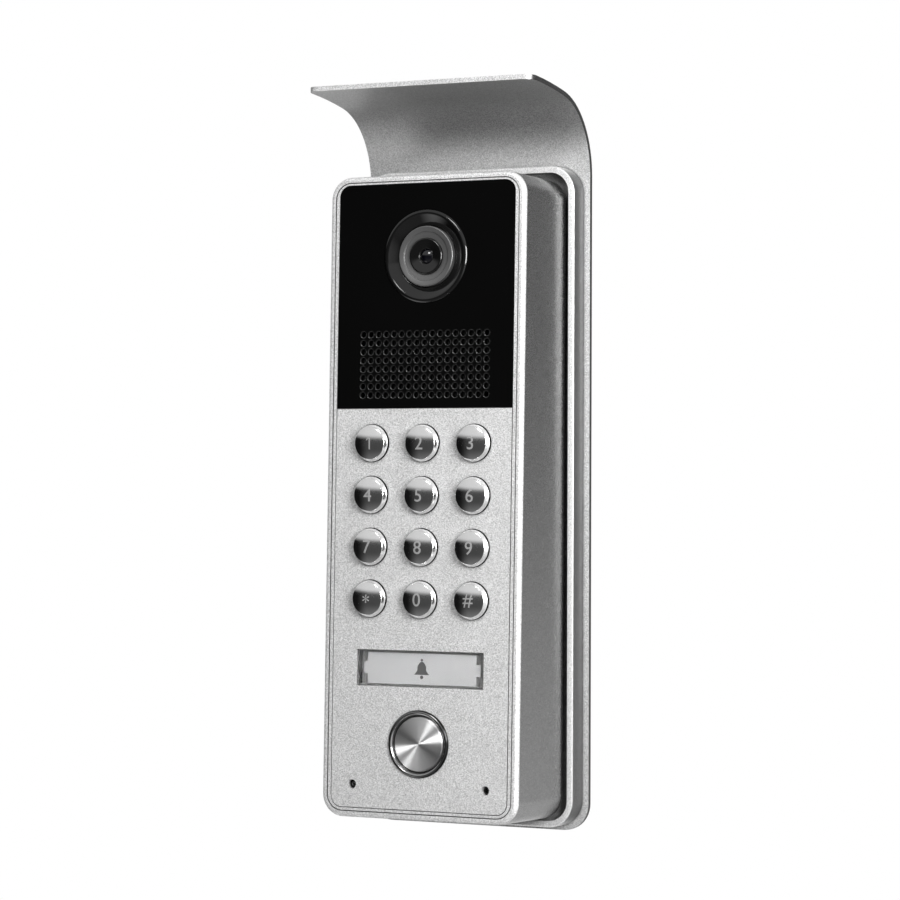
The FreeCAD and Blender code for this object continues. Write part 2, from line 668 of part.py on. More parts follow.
def rain_hood():
    """One bent sheet: the flat plate at the wall, the bend, and the canopy up to its lip."""
    outer_r = BEND_R + SHEET_T
    bend = math.radians(BEND_ANGLE)
    lip = math.radians(BEND_ANGLE + LIP_ANGLE)
    centre = Vector(0, -SHEET_T - BEND_R, BEND_Z)
    far = centre.sub(Vector(0, (LIP_R - BEND_R) * math.cos(bend), (LIP_R - BEND_R) * math.sin(bend)))

    def on(middle, radius, angle):
        return middle.add(Vector(0, radius * math.cos(angle), radius * math.sin(angle)))

    def arc(middle, radius, start, end):
        points = [on(middle, radius, angle) for angle in (start, (start + end) / 2, end)]
        return Part.Arc(*points).toShape()

    lip_out = on(far, LIP_R + SHEET_T, lip)
    edges = [
        Part.makeLine(Vector(0, 0, HOOD_LOW), Vector(0, 0, BEND_Z)),
        arc(centre, outer_r, 0, bend),
        arc(far, LIP_R + SHEET_T, bend, lip),
        Part.makeLine(lip_out, on(far, LIP_R, lip)),
        arc(far, LIP_R, lip, bend),
        arc(centre, BEND_R, bend, 0),
        Part.makeLine(on(centre, BEND_R, 0), Vector(0, -SHEET_T, HOOD_LOW)),
        Part.makeLine(Vector(0, -SHEET_T, HOOD_LOW), Vector(0, 0, HOOD_LOW)),
    ]
    profile = Part.Face(Part.Wire(edges))
    sheet = profile.extrude(Vector(HOOD_W, 0, 0))
    sheet = sheet.translated(Vector(-HOOD_W / 2, 0, 0))
    foot = slab(HOOD_W / 2, HOOD_LOW, 400, -5, 5, HOOD_R)
    foot = foot.fuse(box(-HOOD_W / 2, HOOD_W / 2, -200, 5, 60, 400))
    sheet = sheet.common(foot)
    for side in (-1, 1):
        x = side * (HOOD_W / 2 - LIP_CORNER_R)
        y = lip_out.y + LIP_CORNER_R
        corner = box(min(x, x + side * 5), max(x, x + side * 5), y - 5, y, 110, 140)
        sheet = sheet.cut(corner.cut(Part.makeCylinder(LIP_CORNER_R, 60, Vector(x, y, 100))))
    holes = [rod(x, z, WALL_SCREW_R, -5, 5) for x, z in wall_screw_places()]
    holes.append(rod(0, CABLE_Z, CABLE_HOLE_R, -5, 5))
    return sheet.cut(holes)


def wall_tray():
    """The shallow tray that the body hangs in, with two hooks, a lug and four screw holes."""
    front = -SHEET_T - TRAY_DEPTH
    tray = slab(TRAY_W / 2, -TRAY_H / 2, TRAY_H / 2, front, -SHEET_T, TRAY_R)
    rim = [e for e in tray.Edges if max(v.Y for v in e.Vertexes) < front + 1e-6]
    tray = tray.makeFillet(0.6, rim)
    half = TRAY_W / 2 - TRAY_WALL
    well = slab(half, -TRAY_H / 2 + TRAY_WALL, TRAY_H / 2 - TRAY_WALL, front - 1, FLOOR_Y, TRAY_R - TRAY_WALL)
    tray = tray.cut(well)
    for side in (-1, 1):
        low, high = side * HOOK_X - 4, side * HOOK_X + 4
        stem = box(low, high, -10.2, FLOOR_Y, HOOK_TOP - 2.0, HOOK_TOP)
        tongue = box(low, high, -10.2, -8.6, HOOK_TOP - 2.0, HOOK_TOP + 2.5)
        tray = tray.fuse([stem, tongue])
    tray = tray.fuse(box(-6, 6, LOCK_Y - 3.6, FLOOR_Y, LUG_LOW, LUG_LOW + LUG_T))
    holes = [rod(x, z, WALL_SCREW_R, -5, 5) for x, z in wall_screw_places()]
    sink_end = FLOOR_Y + 1.2
    sink = [(0, FLOOR_Y), (WALL_SCREW_R + 1.1, FLOOR_Y), (WALL_SCREW_R - 0.1, sink_end), (0, sink_end)]
    holes += [turned(sink, x, z) for x, z in wall_screw_places()]
    holes.append(rod(0, CABLE_Z, CABLE_HOLE_R, -5, 5))
    holes.append(Part.makeCylinder(1.25, 12, Vector(0, LOCK_Y, -101)))
    # the back is relieved where the hood's bend begins
    holes.append(box(-TRAY_W, TRAY_W, -SHEET_T - 0.25, 0, BEND_Z - 0.3, TRAY_H))
    return tray.cut(holes).removeSplitter()


def locking_screw():
    """The security screw under the body, up into the tray's lug."""
    head = Part.makeCylinder(2.7, 1.9, Vector(0, LOCK_Y, -HALF_H + 0.2 - 0.6))
    shank = Part.makeCylinder(1.22, 9.0, Vector(0, LOCK_Y, -HALF_H))
    socket = Part.makeCylinder(1.1, 1.2, Vector(0, LOCK_Y, -HALF_H - 0.4))
    return head.fuse(shank).cut(socket).removeSplitter()


def rear_pads():
    """Four rubber pads that fill the gap between the housing and the tray's floor."""
    pads = []
    for x, z in mirrored_pairs(27.0, (62.0, -62.0)):
        post = rod(x, z, 4.0, -9, FLOOR_Y)
        behind = placed(box(-100, 100, 0, 50, -200, 200), REAR_FRAME)
        pads.append(post.common(behind))
    return group(pads)


def cable_grommet():
    """A rubber grommet in the housing's rear wall; the wall cable comes through it."""
    outline = [
        (GROMMET_BORE_R, -3.2), (8.6, -3.2), (8.6, -REAR_T), (GROMMET_HOLE_R, -REAR_T), (GROMMET_HOLE_R, 0),
        (8.6, 0), (8.6, 0.9), (GROMMET_BORE_R, 0.9),
    ]
    return placed(turned(outline, 0, CABLE_Z), REAR_FRAME)


PIECES = (
    rain_hood, wall_tray, locking_screw, rear_pads, rear_housing, cable_grommet, housing_gasket, frame_screws,
    front_frame, face_plate, camera_window, camera_ring, lens_barrel, lens_retainer, lens_glasses, lens_mount,
    image_sensor, camera_board, led_board, infrared_leds, speaker_cloth, speaker_frame, speaker_cone,
    speaker_magnet, keypad_mat, keypad_lights, keypad_board, small_screws, name_cover, name_card, name_holder,
    call_button_body, call_button_cap, call_button_seal, call_button_nut, call_button_spring, call_switch,
    microphone_boot, microphone, status_light, main_board, board_screws, processor_chip, lock_relay,
    capacitors, terminal_block, terminal_screws, board_link,
)


def main():
    os.makedirs("parts", exist_ok=True)
    made = [(piece.__name__, piece()) for piece in PIECES]
    made += [("key_" + name, key(x, z)) for name, x, z in key_places()]
    for name, shape in made:
        shape.exportStep("parts/" + name + ".step")
        print(name, "solids", len(shape.Solids), "valid", shape.isValid(), "volume", round(shape.Volume, 1))


main()
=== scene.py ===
import json
import math

import bmesh
import bpy
from mathutils import Matrix, Vector

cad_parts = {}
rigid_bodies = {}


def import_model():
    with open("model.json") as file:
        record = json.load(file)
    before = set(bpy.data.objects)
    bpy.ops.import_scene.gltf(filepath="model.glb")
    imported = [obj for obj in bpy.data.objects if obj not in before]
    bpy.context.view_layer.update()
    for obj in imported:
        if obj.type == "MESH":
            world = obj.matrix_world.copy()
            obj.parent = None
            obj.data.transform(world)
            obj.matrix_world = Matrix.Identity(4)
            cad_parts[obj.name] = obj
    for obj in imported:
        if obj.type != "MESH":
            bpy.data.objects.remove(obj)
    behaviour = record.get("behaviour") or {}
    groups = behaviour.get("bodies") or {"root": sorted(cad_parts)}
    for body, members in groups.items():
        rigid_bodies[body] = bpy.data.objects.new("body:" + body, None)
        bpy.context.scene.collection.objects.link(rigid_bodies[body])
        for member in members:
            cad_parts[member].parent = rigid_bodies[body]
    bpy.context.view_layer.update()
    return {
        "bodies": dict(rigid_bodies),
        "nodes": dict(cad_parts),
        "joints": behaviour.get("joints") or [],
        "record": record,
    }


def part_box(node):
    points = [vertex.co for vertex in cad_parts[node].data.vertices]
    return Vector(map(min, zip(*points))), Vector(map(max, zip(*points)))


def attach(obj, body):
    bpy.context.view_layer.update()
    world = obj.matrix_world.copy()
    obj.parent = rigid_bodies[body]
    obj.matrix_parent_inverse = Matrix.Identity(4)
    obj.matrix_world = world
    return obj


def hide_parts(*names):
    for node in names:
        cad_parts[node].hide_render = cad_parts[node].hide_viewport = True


# The looks of a door intercom panel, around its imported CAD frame.
# Metres, +Z up, the face looks along -Y, the wall is at y = 0.

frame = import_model()
scene = bpy.context.scene
nodes = frame["nodes"]

# --- driving values -----------------------------------------------------------------------
MM = 0.001
FACE_Y = -39.33 * MM        # the face at mid-height
TURN_STEPS = 128            # steps round a turned piece
ARC_STEPS = 8               # steps along an arc of its outline
CORNER_STEPS = 4            # steps round a softened corner
FLAT_ENOUGH = 20            # degrees: a corner of the outline that turns less isn't softened
CORNER_SHARE = 0.4          # the most of a side that a softened corner takes

# The camera as fitted to the photograph: its place, and where its right and its up point.
CAMERA_PLACE = (0.47033, -0.92135, 0.00741)
CAMERA_RIGHT = (0.88640238, 0.46290561, 0.00303569)
CAMERA_UP = (0.00053878, -0.00758942, 0.99997106)
CAMERA_LENS = 129.34
SENSOR = 36.0

# The sizes of turned and printed pieces are in mm, and a depth counts inward from the face.
CROWN_TOP, CROWN_EDGE_R, CROWN_EDGE = -2.9, 5.12, -2.1
KEY_SHADE_DEPTH = -0.68           # the key's wall is black from this depth inward: painted shade for the shadow in the gap round the key
KEY_CORNER = 0.09
FIGURE_HEIGHT = 4.0
FIGURE_OUT = 0.02           # how far a figure stands out of its crown
FIGURE_CELL = 0.3           # a figure's mesh is cut into cells this wide, so that it follows the crown
FIGURE_CELLS = 10           # cells on each side of its middle
CAP_HEIGHT = 0.69           # a figure's height, in ems
HALF_THICK = 0.5            # half the thickness of a figure before it is laid on its crown, in ems
FIGURES = {"star": "*", "hash": "#"}

# The body's own frame: its origin in the face, y inward, tilted back like the key's travel.
INWARD = Vector(frame["joints"][0]["axis"])
TILT = math.atan2(INWARD.z, INWARD.y)
BODY = Matrix.Translation((0, FACE_Y, 0)) @ Matrix.Rotation(TILT, 4, "X")


# --- shader building blocks -------------------------------------------------------------
class Tree:
    """A node tree being made, of a material or of the world."""

    def __init__(self, tree):
        self.tree = tree

    def node(self, kind, settings=None, **inputs):
        """A new node with these settings and inputs. An input is named with _ for a blank."""
        made = self.tree.nodes.new(kind)
        for name, value in (settings or {}).items():
            setattr(made, name, value)
        for name, value in inputs.items():
            self.set(made.inputs[name.replace("_", " ")], value)
        return made

    def set(self, socket, value):
        """Links value to the socket if it is another node's output, or else writes it there."""
        if isinstance(value, bpy.types.NodeSocket):
            self.tree.links.new(value, socket)
        else:
            socket.default_value = value

    def maths(self, operation, *values):
        """The result of one operation on the values."""
        made = self.node("ShaderNodeMath", {"operation": operation})
        for socket, value in zip(made.inputs, values):
            self.set(socket, value)
        return made.outputs[0]

    def spread(self, value, low, high, start=0.0, end=1.0):
        """value, from start..end to low..high, smoothly."""
        made = self.node("ShaderNodeMapRange", {"interpolation_type": "SMOOTHSTEP"})
        for name, number in (("From Min", start), ("From Max", end), ("To Min", low), ("To Max", high)):
            made.inputs[name].default_value = number
        self.set(made.inputs["Value"], value)
        return made.outputs["Result"]

    def mix(self, share, first, second):
        """A colour from first, at share 0, to second, at share 1."""
        made = self.node("ShaderNodeMix", {"data_type": "RGBA"})
        colours = [s for s in made.inputs if s.type == "RGBA"]
        self.set(made.inputs[0], share)
        for socket, value in zip(colours, (first, second)):
            self.set(socket, value)
        return [s for s in made.outputs if s.type == "RGBA"][0]


class Shader(Tree):
    """A material being made: its node tree, its Principled shader and the object's own coordinates."""

    def __init__(self, name):
        self.material = bpy.data.materials.new(name)
        self.material.use_nodes = True
        super().__init__(self.material.node_tree)
        self.surface = self.tree.nodes["Principled BSDF"]
        self.place = self.node("ShaderNodeTexCoord").outputs["Object"]

    def noise(self, size, detail=3.0):
        """Cloudy noise whose lumps are about size metres across."""
        made = self.node("ShaderNodeTexNoise", Scale=1 / size, Detail=detail, Roughness=0.6)
        self.set(made.inputs["Vector"], self.place)
        return made.outputs[0]

    def flakes(self, size):
        """Two random values in each of many small cells."""
        made = self.node("ShaderNodeTexVoronoi", Scale=1 / size)
        self.set(made.inputs["Vector"], self.place)
        parts = self.node("ShaderNodeSeparateColor")
        self.set(parts.inputs[0], made.outputs["Color"])
        return parts.outputs[0], parts.outputs[1]

    def radius(self):
        """The distance from the object's own Y axis."""
        parts = self.node("ShaderNodeSeparateXYZ")
        self.set(parts.inputs[0], self.place)
        x, z = parts.outputs[0], parts.outputs[2]
        squares = self.maths("ADD", self.maths("MULTIPLY", x, x), self.maths("MULTIPLY", z, z))
        return self.maths("SQRT", squares)

    def rings(self, width, detail=2.0):
        """Noise that runs in rings round the object's own Y axis."""
        made = self.node("ShaderNodeTexNoise", {"noise_dimensions": "1D"}, Scale=1 / width, Detail=detail)
        self.set(made.inputs["W"], self.radius())
        return made.outputs[0]

    def bump(self, height, depth):
        """Relief whose height 0 to 1 is depth metres."""
        made = self.node("ShaderNodeBump", Strength=1.0, Distance=depth)
        self.set(made.inputs["Height"], height)
        self.set(self.surface.inputs["Normal"], made.outputs[0])

    def finish(self, **values):
        """Sets the Principled shader's sockets, named with _ for a blank, and gives the material."""
        for name, value in values.items():
            self.set(self.surface.inputs[name.replace("_", " ")], value)
        return self.material


def grey(level):
    """A neutral colour."""
    return (level, level, level, 1.0)


# --- materials --------------------------------------------------------------------------
def flake_paint(name, level, roughness, metallic, flake, contrast, depth,
                flank_shade_level=None, under=1.0, crevice_shade_reach=0.0012):
    """Silver paint with aluminium flakes: grain in its tone and gloss, and faint orange peel.

    flank is the paint's level on faces that look sideways, which also get more metal: painted shade. under is
    the share of its level that is left on faces that look down: painted shade too. Both apply only when flank
    is given.
    Corners and gaps narrower than crevices, in metres, are darkened with painted shade.
    """
    s = Shader(name)
    tone, second = s.flakes(flake)
    cloud = s.noise(0.012)
    grain = s.maths("ADD", s.maths("MULTIPLY", tone, 0.85), s.maths("MULTIPLY", cloud, 0.15))
    colour = s.mix(grain, grey(level * (1 - contrast)), grey(min(1.0, level * (1 + contrast))))
    # Painted shade: faces that look sideways take a darker level and more metal, and faces that look down are
    # darkened further.
    if flank_shade_level is not None:
        parts = s.node("ShaderNodeSeparateXYZ")
        s.set(parts.inputs[0], s.node("ShaderNodeTexCoord").outputs["Normal"])
        sideways = s.spread(s.maths("ABSOLUTE", parts.outputs[0]), 0.0, 1.0, 0.25, 0.9)
        colour = s.mix(sideways, colour, s.mix(tone, grey(flank_shade_level * 0.8), grey(flank_shade_level * 1.2)))
        metallic = s.spread(sideways, metallic, 0.92)
        colour = s.mix(s.spread(parts.outputs[2], under, 1.0, -0.75, -0.12), grey(0.0), colour)
    # Painted shade: corners and narrow gaps are darkened.
    crevice_shade = s.node("ShaderNodeAmbientOcclusion", {"samples": 6}, Distance=crevice_shade_reach).outputs["AO"]
    colour = s.mix(s.spread(crevice_shade, 0.0, 1.0, 0.25, 0.85), grey(level * 0.12), colour)
    height = s.maths("ADD", second, s.maths("MULTIPLY", s.noise(0.0011), 2.0))
    s.bump(height, depth)
    gloss = s.spread(second, roughness - 0.06, roughness + 0.06)
    return s.finish(Base_Color=colour, Roughness=gloss, Metallic=metallic)


def black_acrylic():
    """The polished black window."""
    s = Shader("black_acrylic")
    haze = s.noise(0.03, detail=5.0)
    return s.finish(Base_Color=s.mix(haze, grey(0.0002), grey(0.0007)),
                    Roughness=s.spread(haze, 0.03, 0.07, 0.35, 0.7), IOR=1.49)


def gloss_black(name, level, low, high, ior=1.5):
    """Turned and lacquered black, with faint turning rings."""
    s = Shader(name)
    rings = s.rings(0.00012)
    s.bump(rings, 0.0000015)
    return s.finish(Base_Color=s.mix(rings, grey(level * 0.8), grey(level * 1.2)),
                    Roughness=s.spread(rings, low, high), IOR=ior)


def grey_satin():
    """Turned grey metal, half matt."""
    s = Shader("grey_satin")
    rings = s.rings(0.00018)
    s.bump(rings, 0.000004)
    return s.finish(Base_Color=s.mix(rings, grey(0.10), grey(0.15)),
                    Roughness=s.spread(rings, 0.28, 0.4), Metallic=0.6)


def lens_glass():
    """Coated optical glass over the dark inside of the lens."""
    s = Shader("lens_glass")
    haze = s.noise(0.002)
    return s.finish(Base_Color=s.mix(haze, (0.001, 0.001, 0.002, 1), (0.002, 0.002, 0.004, 1)),
                    Roughness=s.spread(haze, 0.01, 0.04), IOR=1.6)


def key_chrome():
    """Polished stainless steel with very fine turning marks."""
    s = Shader("key_chrome")
    rings = s.rings(0.00009)
    smear = s.noise(0.004, detail=4.0)
    s.bump(rings, 0.0000012)
    return s.finish(Base_Color=s.mix(smear, grey(0.80), grey(0.90)),
                    Roughness=s.spread(smear, 0.07, 0.16, 0.3, 0.7), Metallic=1.0)


def figure_grey():
    """The keys' figures: a dull, etched grey."""
    s = Shader("figure_grey")
    tone, _ = s.flakes(0.00012)
    return s.finish(Base_Color=s.mix(tone, grey(0.20), grey(0.30)),
                    Roughness=s.spread(tone, 0.45, 0.6), Metallic=0.2)


def dark_chrome():
    """The call button's ring: dark polished metal, and nearly black at its outer edge."""
    s = Shader("dark_chrome")
    rings = s.rings(0.0001)
    s.bump(rings, 0.000001)
    # Painted shade: the ring's colour turns nearly black towards its outer edge.
    outer = s.spread(s.radius(), 0.0, 1.0, 0.0099, 0.0102)
    colour = s.mix(outer, s.mix(rings, grey(0.30), grey(0.38)), grey(0.02))
    return s.finish(Base_Color=colour, Roughness=s.spread(rings, 0.10, 0.17), Metallic=1.0)


def brushed_steel():
    """Steel brushed in circles: the light fans out across the brushing."""
    s = Shader("brushed_steel")
    rings = s.rings(0.00006, detail=4.0)
    coarse = s.rings(0.0006, detail=3.0)
    both = s.maths("ADD", s.maths("MULTIPLY", rings, 0.7), s.maths("MULTIPLY", coarse, 0.3))
    s.bump(both, 0.000002)
    tangent = s.node("ShaderNodeTangent", {"direction_type": "RADIAL", "axis": "Y"})
    return s.finish(
        Base_Color=s.mix(both, grey(0.82), grey(1.0)), Roughness=s.spread(both, 0.34, 0.42), Metallic=1.0,
        Anisotropic=1.0, Anisotropic_Rotation=0.25, Tangent=tangent.outputs[0],
    )


def clear_plastic():
    """The name window's clear cover."""
    s = Shader("clear_plastic")
    haze = s.noise(0.004)
    return s.finish(Base_Color=s.mix(haze, grey(0.97), grey(1.0)), Roughness=0.02, IOR=1.46,
                    Transmission_Weight=1.0)


def paper():
    """The name card: off-white, with fine fibres."""
    s = Shader("paper")
    fibre = s.noise(0.0003, detail=6.0)
    cloud = s.noise(0.008)
    s.bump(fibre, 0.00001)
    tone = s.maths("ADD", s.maths("MULTIPLY", fibre, 0.5), s.maths("MULTIPLY", cloud, 0.5))
    return s.finish(Base_Color=s.mix(tone, (0.80, 0.80, 0.81, 1), (0.90, 0.90, 0.90, 1)), Roughness=0.85)


def printed_grey():
    """Grey ink on the card."""
    s = Shader("printed_grey")
    fibre = s.noise(0.0002, detail=5.0)
    return s.finish(Base_Color=s.mix(fibre, grey(0.13), grey(0.20)), Roughness=0.8)


def grained(name, dark, light, roughness, size, depth, metallic=0.0, ior=1.5):
    """A moulded, cast or woven surface: two tones in a grain of that size, with bump."""
    s = Shader(name)
    grain = s.noise(size, detail=5.0)
    cloud = s.noise(size * 15)
    s.bump(grain, depth)
    tone = s.maths("ADD", s.maths("MULTIPLY", grain, 0.6), s.maths("MULTIPLY", cloud, 0.4))
    return s.finish(Base_Color=s.mix(s.spread(tone, 0, 1, 0.3, 0.7), dark, light), Metallic=metallic, IOR=ior,
                    Roughness=s.spread(grain, max(0.02, roughness - 0.08), roughness + 0.08, 0.3, 0.7))


def cloth():
    """Fine woven black gauze behind the speaker holes."""
    s = Shader("cloth")
    parts = s.node("ShaderNodeSeparateXYZ")
    s.set(parts.inputs[0], s.place)
    turns = 2 * math.pi / 0.0004
    threads = [s.maths("SINE", s.maths("MULTIPLY", parts.outputs[i], turns)) for i in (0, 2)]
    weave = s.maths("ABSOLUTE", s.maths("MULTIPLY", threads[0], threads[1]))
    s.bump(weave, 0.00005)
    return s.finish(Base_Color=s.mix(weave, grey(0.008), grey(0.045)), Roughness=0.9)


def board():
    """Green solder mask with fine copper tracks under it."""
    s = Shader("board")
    tracks = s.node("ShaderNodeTexBrick", Scale=110.0)
    s.set(tracks.inputs["Vector"], s.place)
    s.set(tracks.inputs["Color1"], (0.010, 0.085, 0.030, 1))
    s.set(tracks.inputs["Color2"], (0.012, 0.110, 0.040, 1))
    s.set(tracks.inputs["Mortar"], (0.030, 0.200, 0.080, 1))
    grain = s.noise(0.0008)
    s.bump(tracks.outputs["Fac"], 0.00003)
    return s.finish(Base_Color=tracks.outputs["Color"], Roughness=s.spread(grain, 0.3, 0.45))


# A flake_paint's numbers are its level, roughness, metallic, flake size, contrast and depth of relief, and
# those of a grained material its two tones, roughness, grain size and depth of relief. Sizes are in metres.
MATERIALS = {
    "silver_paint": flake_paint(
        "silver_paint", 0.66, 0.42, 0.50, 0.00020, 0.45, 0.00003,
    ),
    "housing_paint": flake_paint(
        "housing_paint", 0.235, 0.27, 0.96, 0.00020, 0.30, 0.000008, crevice_shade_reach=0.0025,
    ),
    # Painted shade: the hood and the tray are darker on their side faces, and the hood is darker under its
    # canopy.
    "rain_hood": flake_paint(
        "rain_hood", 0.76, 0.40, 0.70, 0.00022, 0.40, 0.00003, flank_shade_level=0.06, under=0.42,
    ),
    "wall_tray": flake_paint(
        "wall_tray", 0.74, 0.38, 0.45, 0.00020, 0.30, 0.00002, flank_shade_level=0.14, crevice_shade_reach=0.005,
    ),
    "black_acrylic": black_acrylic(),
    "black_gloss": gloss_black("black_gloss", 0.0035, 0.04, 0.09),
    "grey_satin": grey_satin(),
    "lens_glass": lens_glass(),
    "key_chrome": key_chrome(),
    "clear_plastic": clear_plastic(),
    "paper": paper(),
    "dark_chrome": dark_chrome(),
    "brushed_steel": brushed_steel(),
    "cloth": cloth(),
    "board": board(),
    "black_plastic": grained("black_plastic", grey(0.012), grey(0.022), 0.5, 0.0004, 0.00002),
    "rubber": grained("rubber", grey(0.014), grey(0.03), 0.75, 0.0005, 0.00003),
    "silicone": grained("silicone", grey(0.42), grey(0.52), 0.55, 0.0006, 0.00001),
    "steel": grained("steel", grey(0.50), grey(0.66), 0.3, 0.0003, 0.000004, metallic=1.0),
    "chip": grained("chip", grey(0.015), grey(0.03), 0.6, 0.0002, 0.00001),
    "led": grained("led", (0.55, 0.55, 0.50, 1), (0.75, 0.74, 0.68, 1), 0.2, 0.0006, 0.000004),
    "magnet": grained("magnet", grey(0.20), grey(0.30), 0.4, 0.0005, 0.00001, metallic=0.9),
    "cone": grained("cone", grey(0.02), grey(0.05), 0.8, 0.0004, 0.00003),
    "terminal_green": grained(
        "terminal_green", (0.01, 0.16, 0.05, 1), (0.02, 0.22, 0.07, 1), 0.4, 0.0005, 0.00001,
    ),
    "relay_blue": grained(
        "relay_blue", (0.01, 0.04, 0.25, 1), (0.02, 0.06, 0.32, 1), 0.35, 0.0005, 0.00001,
    ),
}
# Materials of single pieces, beside those of the slots.
HOLDER_GREY = grained("holder_grey", grey(0.60), grey(0.72), 0.45, 0.0004, 0.00002)
SMOKED = grained("smoked_lens", grey(0.004), grey(0.010), 0.12, 0.0008, 0.000002)
RIM_GLOSS = gloss_black("rim_gloss", 0.02, 0.12, 0.20, 2.2)
# Painted shade: the black of the keys' walls in the gap round each key.
KEY_SHADE_BLACK = grained("key_shade_black", grey(0.002), grey(0.006), 0.6, 0.0004, 0.00002, ior=1.12)
FIGURE_GREY = figure_grey()
PRINTED_GREY = printed_grey()


# --- turned pieces ------------------------------------------------------------------------
def circle(radius, steps, x=0.0, z=0.0):
    """Points evenly round a circle about (x, z)."""
    angles = (2 * math.pi * i / steps for i in range(steps))
    return [(x + radius * math.cos(a), z + radius * math.sin(a)) for a in angles]


def slab(bm, front, back):
    """Adds a flat slab between two outlines with the same number of corners."""
    one = [bm.verts.new(point) for point in front]
    two = [bm.verts.new(point) for point in back]
    bm.faces.new(one)
    bm.faces.new(two[::-1])
    for i in range(len(one)):
        j = (i + 1) % len(one)
        bm.faces.new((one[j], one[i], two[i], two[j]))


def arc(start, middle, end):
    """Points after start, along the circle through the three points, to end."""
    (ax, ay), (bx, by), (cx, cy) = start, middle, end
    d = 2 * (ax * (by - cy) + bx * (cy - ay) + cx * (ay - by))
    a2, b2, c2 = ax * ax + ay * ay, bx * bx + by * by, cx * cx + cy * cy
    ux = (a2 * (by - cy) + b2 * (cy - ay) + c2 * (ay - by)) / d
    uy = (a2 * (cx - bx) + b2 * (ax - cx) + c2 * (bx - ax)) / d
    radius = math.hypot(ax - ux, ay - uy)
    first, mid, last = (math.atan2(y - uy, x - ux) for x, y in (start, middle, end))
    turn = (last - first) % (2 * math.pi)
    if (mid - first) % (2 * math.pi) > turn:
        turn -= 2 * math.pi
    angles = [first + turn * i / ARC_STEPS for i in range(1, ARC_STEPS)]
    return [(ux + radius * math.cos(a), uy + radius * math.sin(a)) for a in angles] + [end]


def crown(top, edge_r, edge, steps=14):
    """Points of a shallow dome from its top on the axis to its edge."""
    sphere = (edge_r ** 2 + (edge - top) ** 2) / (2 * (edge - top))
    radii = [edge_r * i / steps for i in range(steps + 1)]
    return [(r, top + sphere - math.sqrt(sphere ** 2 - r ** 2)) for r in radii]


def softened(points, radius, closed):
    """The outline with each sharp corner cut into a small round, as turned and tumbled metal has."""
    made = []
    count = len(points)
    for i, point in enumerate(points):
        p = Vector(point)
        before, after = Vector(points[i - 1]), Vector(points[(i + 1) % count])
        end = not closed and i in (0, count - 1)
        to, on = p - before, after - p
        if end or to.length < 1e-6 or on.length < 1e-6 or to.angle(on) < math.radians(FLAT_ENOUGH):
            made.append(p)
            continue
        reach = min(radius, to.length * CORNER_SHARE, on.length * CORNER_SHARE)
        a, b = p - to.normalized() * reach, p + on.normalized() * reach
        for k in range(CORNER_STEPS + 1):
            t = k / CORNER_STEPS
            made.append(a * (1 - t) ** 2 + p * 2 * t * (1 - t) + b * t * t)
    return [tuple(p) for p in made]


def traced(outline):
    """The outline's points, with each pair of points drawn as an arc."""
    points = []
    for step in outline:
        if isinstance(step[0], tuple):
            points += arc(points[-1], *step)
        else:
            points.append(step)
    return points


def turned(name, outline, material, x=0.0, z=0.0, corner=0.06):
    """A turned piece about the body's inward axis through (x, z). The outline is (radius, depth) in mm."""
    points = traced(outline)
    on_axis = points[0][0] == 0 and points[-1][0] == 0
    points = softened(points, corner, not on_axis)
    bm = bmesh.new()
    loops = []
    for radius, depth in points:
        around = circle(radius * MM, TURN_STEPS) if radius else [(0, 0)]
        loops.append([bm.verts.new((px, depth * MM, pz)) for px, pz in around])
    pairs = list(zip(loops, loops[1:]))
    if not on_axis:
        pairs.append((loops[-1], loops[0]))
    for one, two in pairs:
        for i in range(TURN_STEPS):
            j = (i + 1) % TURN_STEPS
            corners = [one[i % len(one)], one[j % len(one)], two[j % len(two)], two[i % len(two)]]
            bm.faces.new(list(dict.fromkeys(corners)))
    return placed_piece(name, bm, material, x, z)


def placed_piece(name, bm, material, x=0.0, z=0.0, sharp=40):
    """The mesh as an object in the body's frame, with smooth faces and sharp edges."""
    bmesh.ops.recalc_face_normals(bm, faces=bm.faces)
    mesh = bpy.data.meshes.new(name)
    bm.to_mesh(mesh)
    bm.free()
    mesh.materials.append(material)
    mesh.polygons.foreach_set("use_smooth", [True] * len(mesh.polygons))
    mesh.set_sharp_from_angle(angle=math.radians(sharp))
    made = bpy.data.objects.new(name, mesh)
    scene.collection.objects.link(made)
    made.matrix_world = BODY @ Matrix.Translation((x * MM, 0, z * MM))
    return made


def stand_in(piece, node, body):
    """The piece takes the CAD node's place and rides on its body."""
    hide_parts(node)
    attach(piece, body)


def centre_of(node):
    """A CAD node's centre across and up in the body's frame, in mm."""
    low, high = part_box(node)
    middle = BODY.inverted() @ ((low + high) / 2)
    return middle.x / MM, middle.z / MM


# --- keys ---------------------------------------------------------------------------------
KEY_OUTLINE = crown(CROWN_TOP, CROWN_EDGE_R, CROWN_EDGE) + [
    (5.75, -0.7), (5.75, 2.15), (6.6, 2.15), (6.6, 3.1), (3, 3.1), (3, 4.3), (0, 4.3),
]
# The figure 1 with its flag, in ems.
ONE = [(0.04, 0), (0.04, 0.69), (-0.03, 0.69), (-0.19, 0.57), (-0.19, 0.48), (-0.04, 0.585), (-0.04, 0)]


